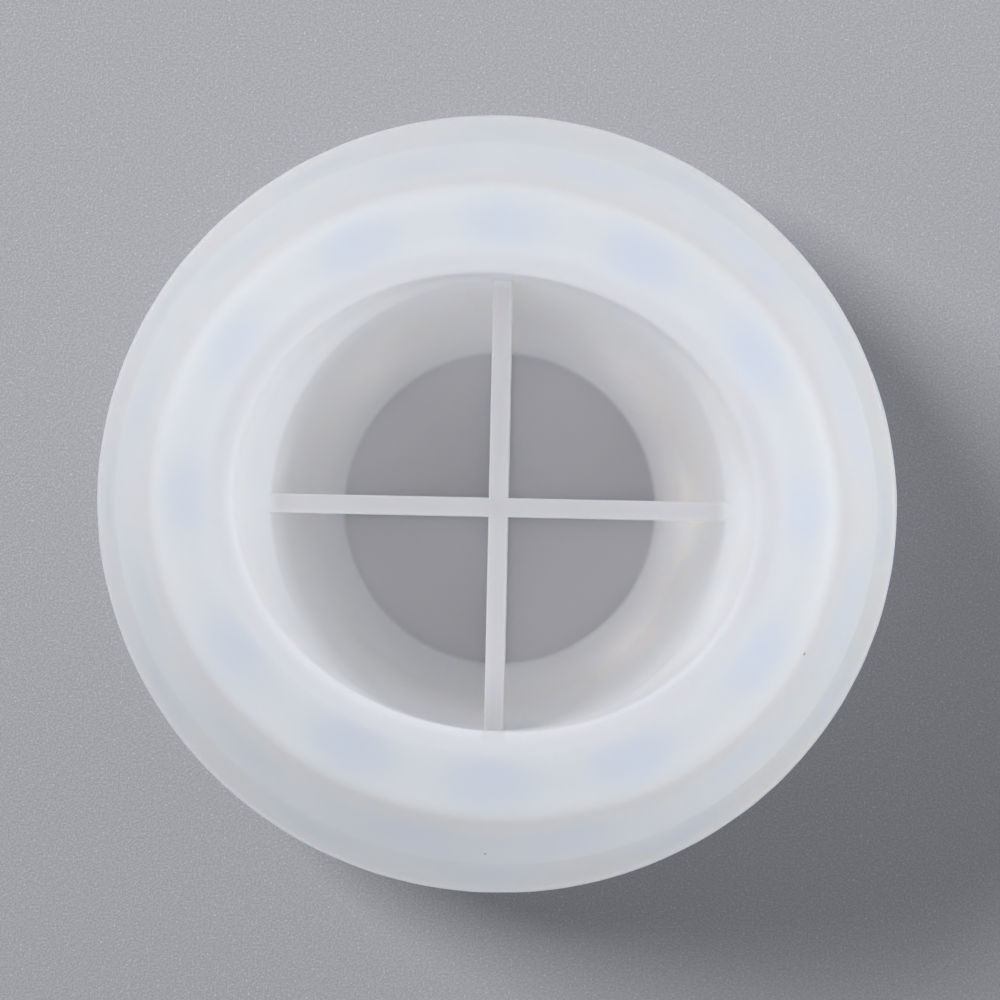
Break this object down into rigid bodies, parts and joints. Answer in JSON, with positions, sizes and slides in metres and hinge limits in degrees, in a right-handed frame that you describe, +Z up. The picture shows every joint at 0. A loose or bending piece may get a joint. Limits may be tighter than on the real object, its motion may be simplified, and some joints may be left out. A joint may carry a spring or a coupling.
{
  "type": "resin casting mould",
  "caption": "Soft white silicone mould for casting a small faceted resin pot: banded round outer wall, hollow core stiffened by crossed ribs, mouth face down.",
  "frame": {"origin": "centre of the mouth, on the surface that the mould lies on", "axes": "+Z up, away from the mouth and towards the underside with the hollow core; the long rib runs along X and the two half ribs along Y"},
  "size_m": [0.1022, 0.0992, 0.056],
  "materials": {
    "silicone": "milky translucent white silicone, satin with a faintly dusty bloom"
  },
  "bodies": {
    "root": {"mouth_rim": "silicone", "lower_wall": "silicone", "parting_bead": "silicone", "middle_wall": "silicone", "upper_wall": "silicone", "floor_band": "silicone", "hollow_lip": "silicone", "core_neck": "silicone", "core_wall": "silicone", "core_cap": "silicone", "rib_across": "silicone", "rib_back": "silicone", "rib_front": "silicone"}
  },
  "joints": []
}
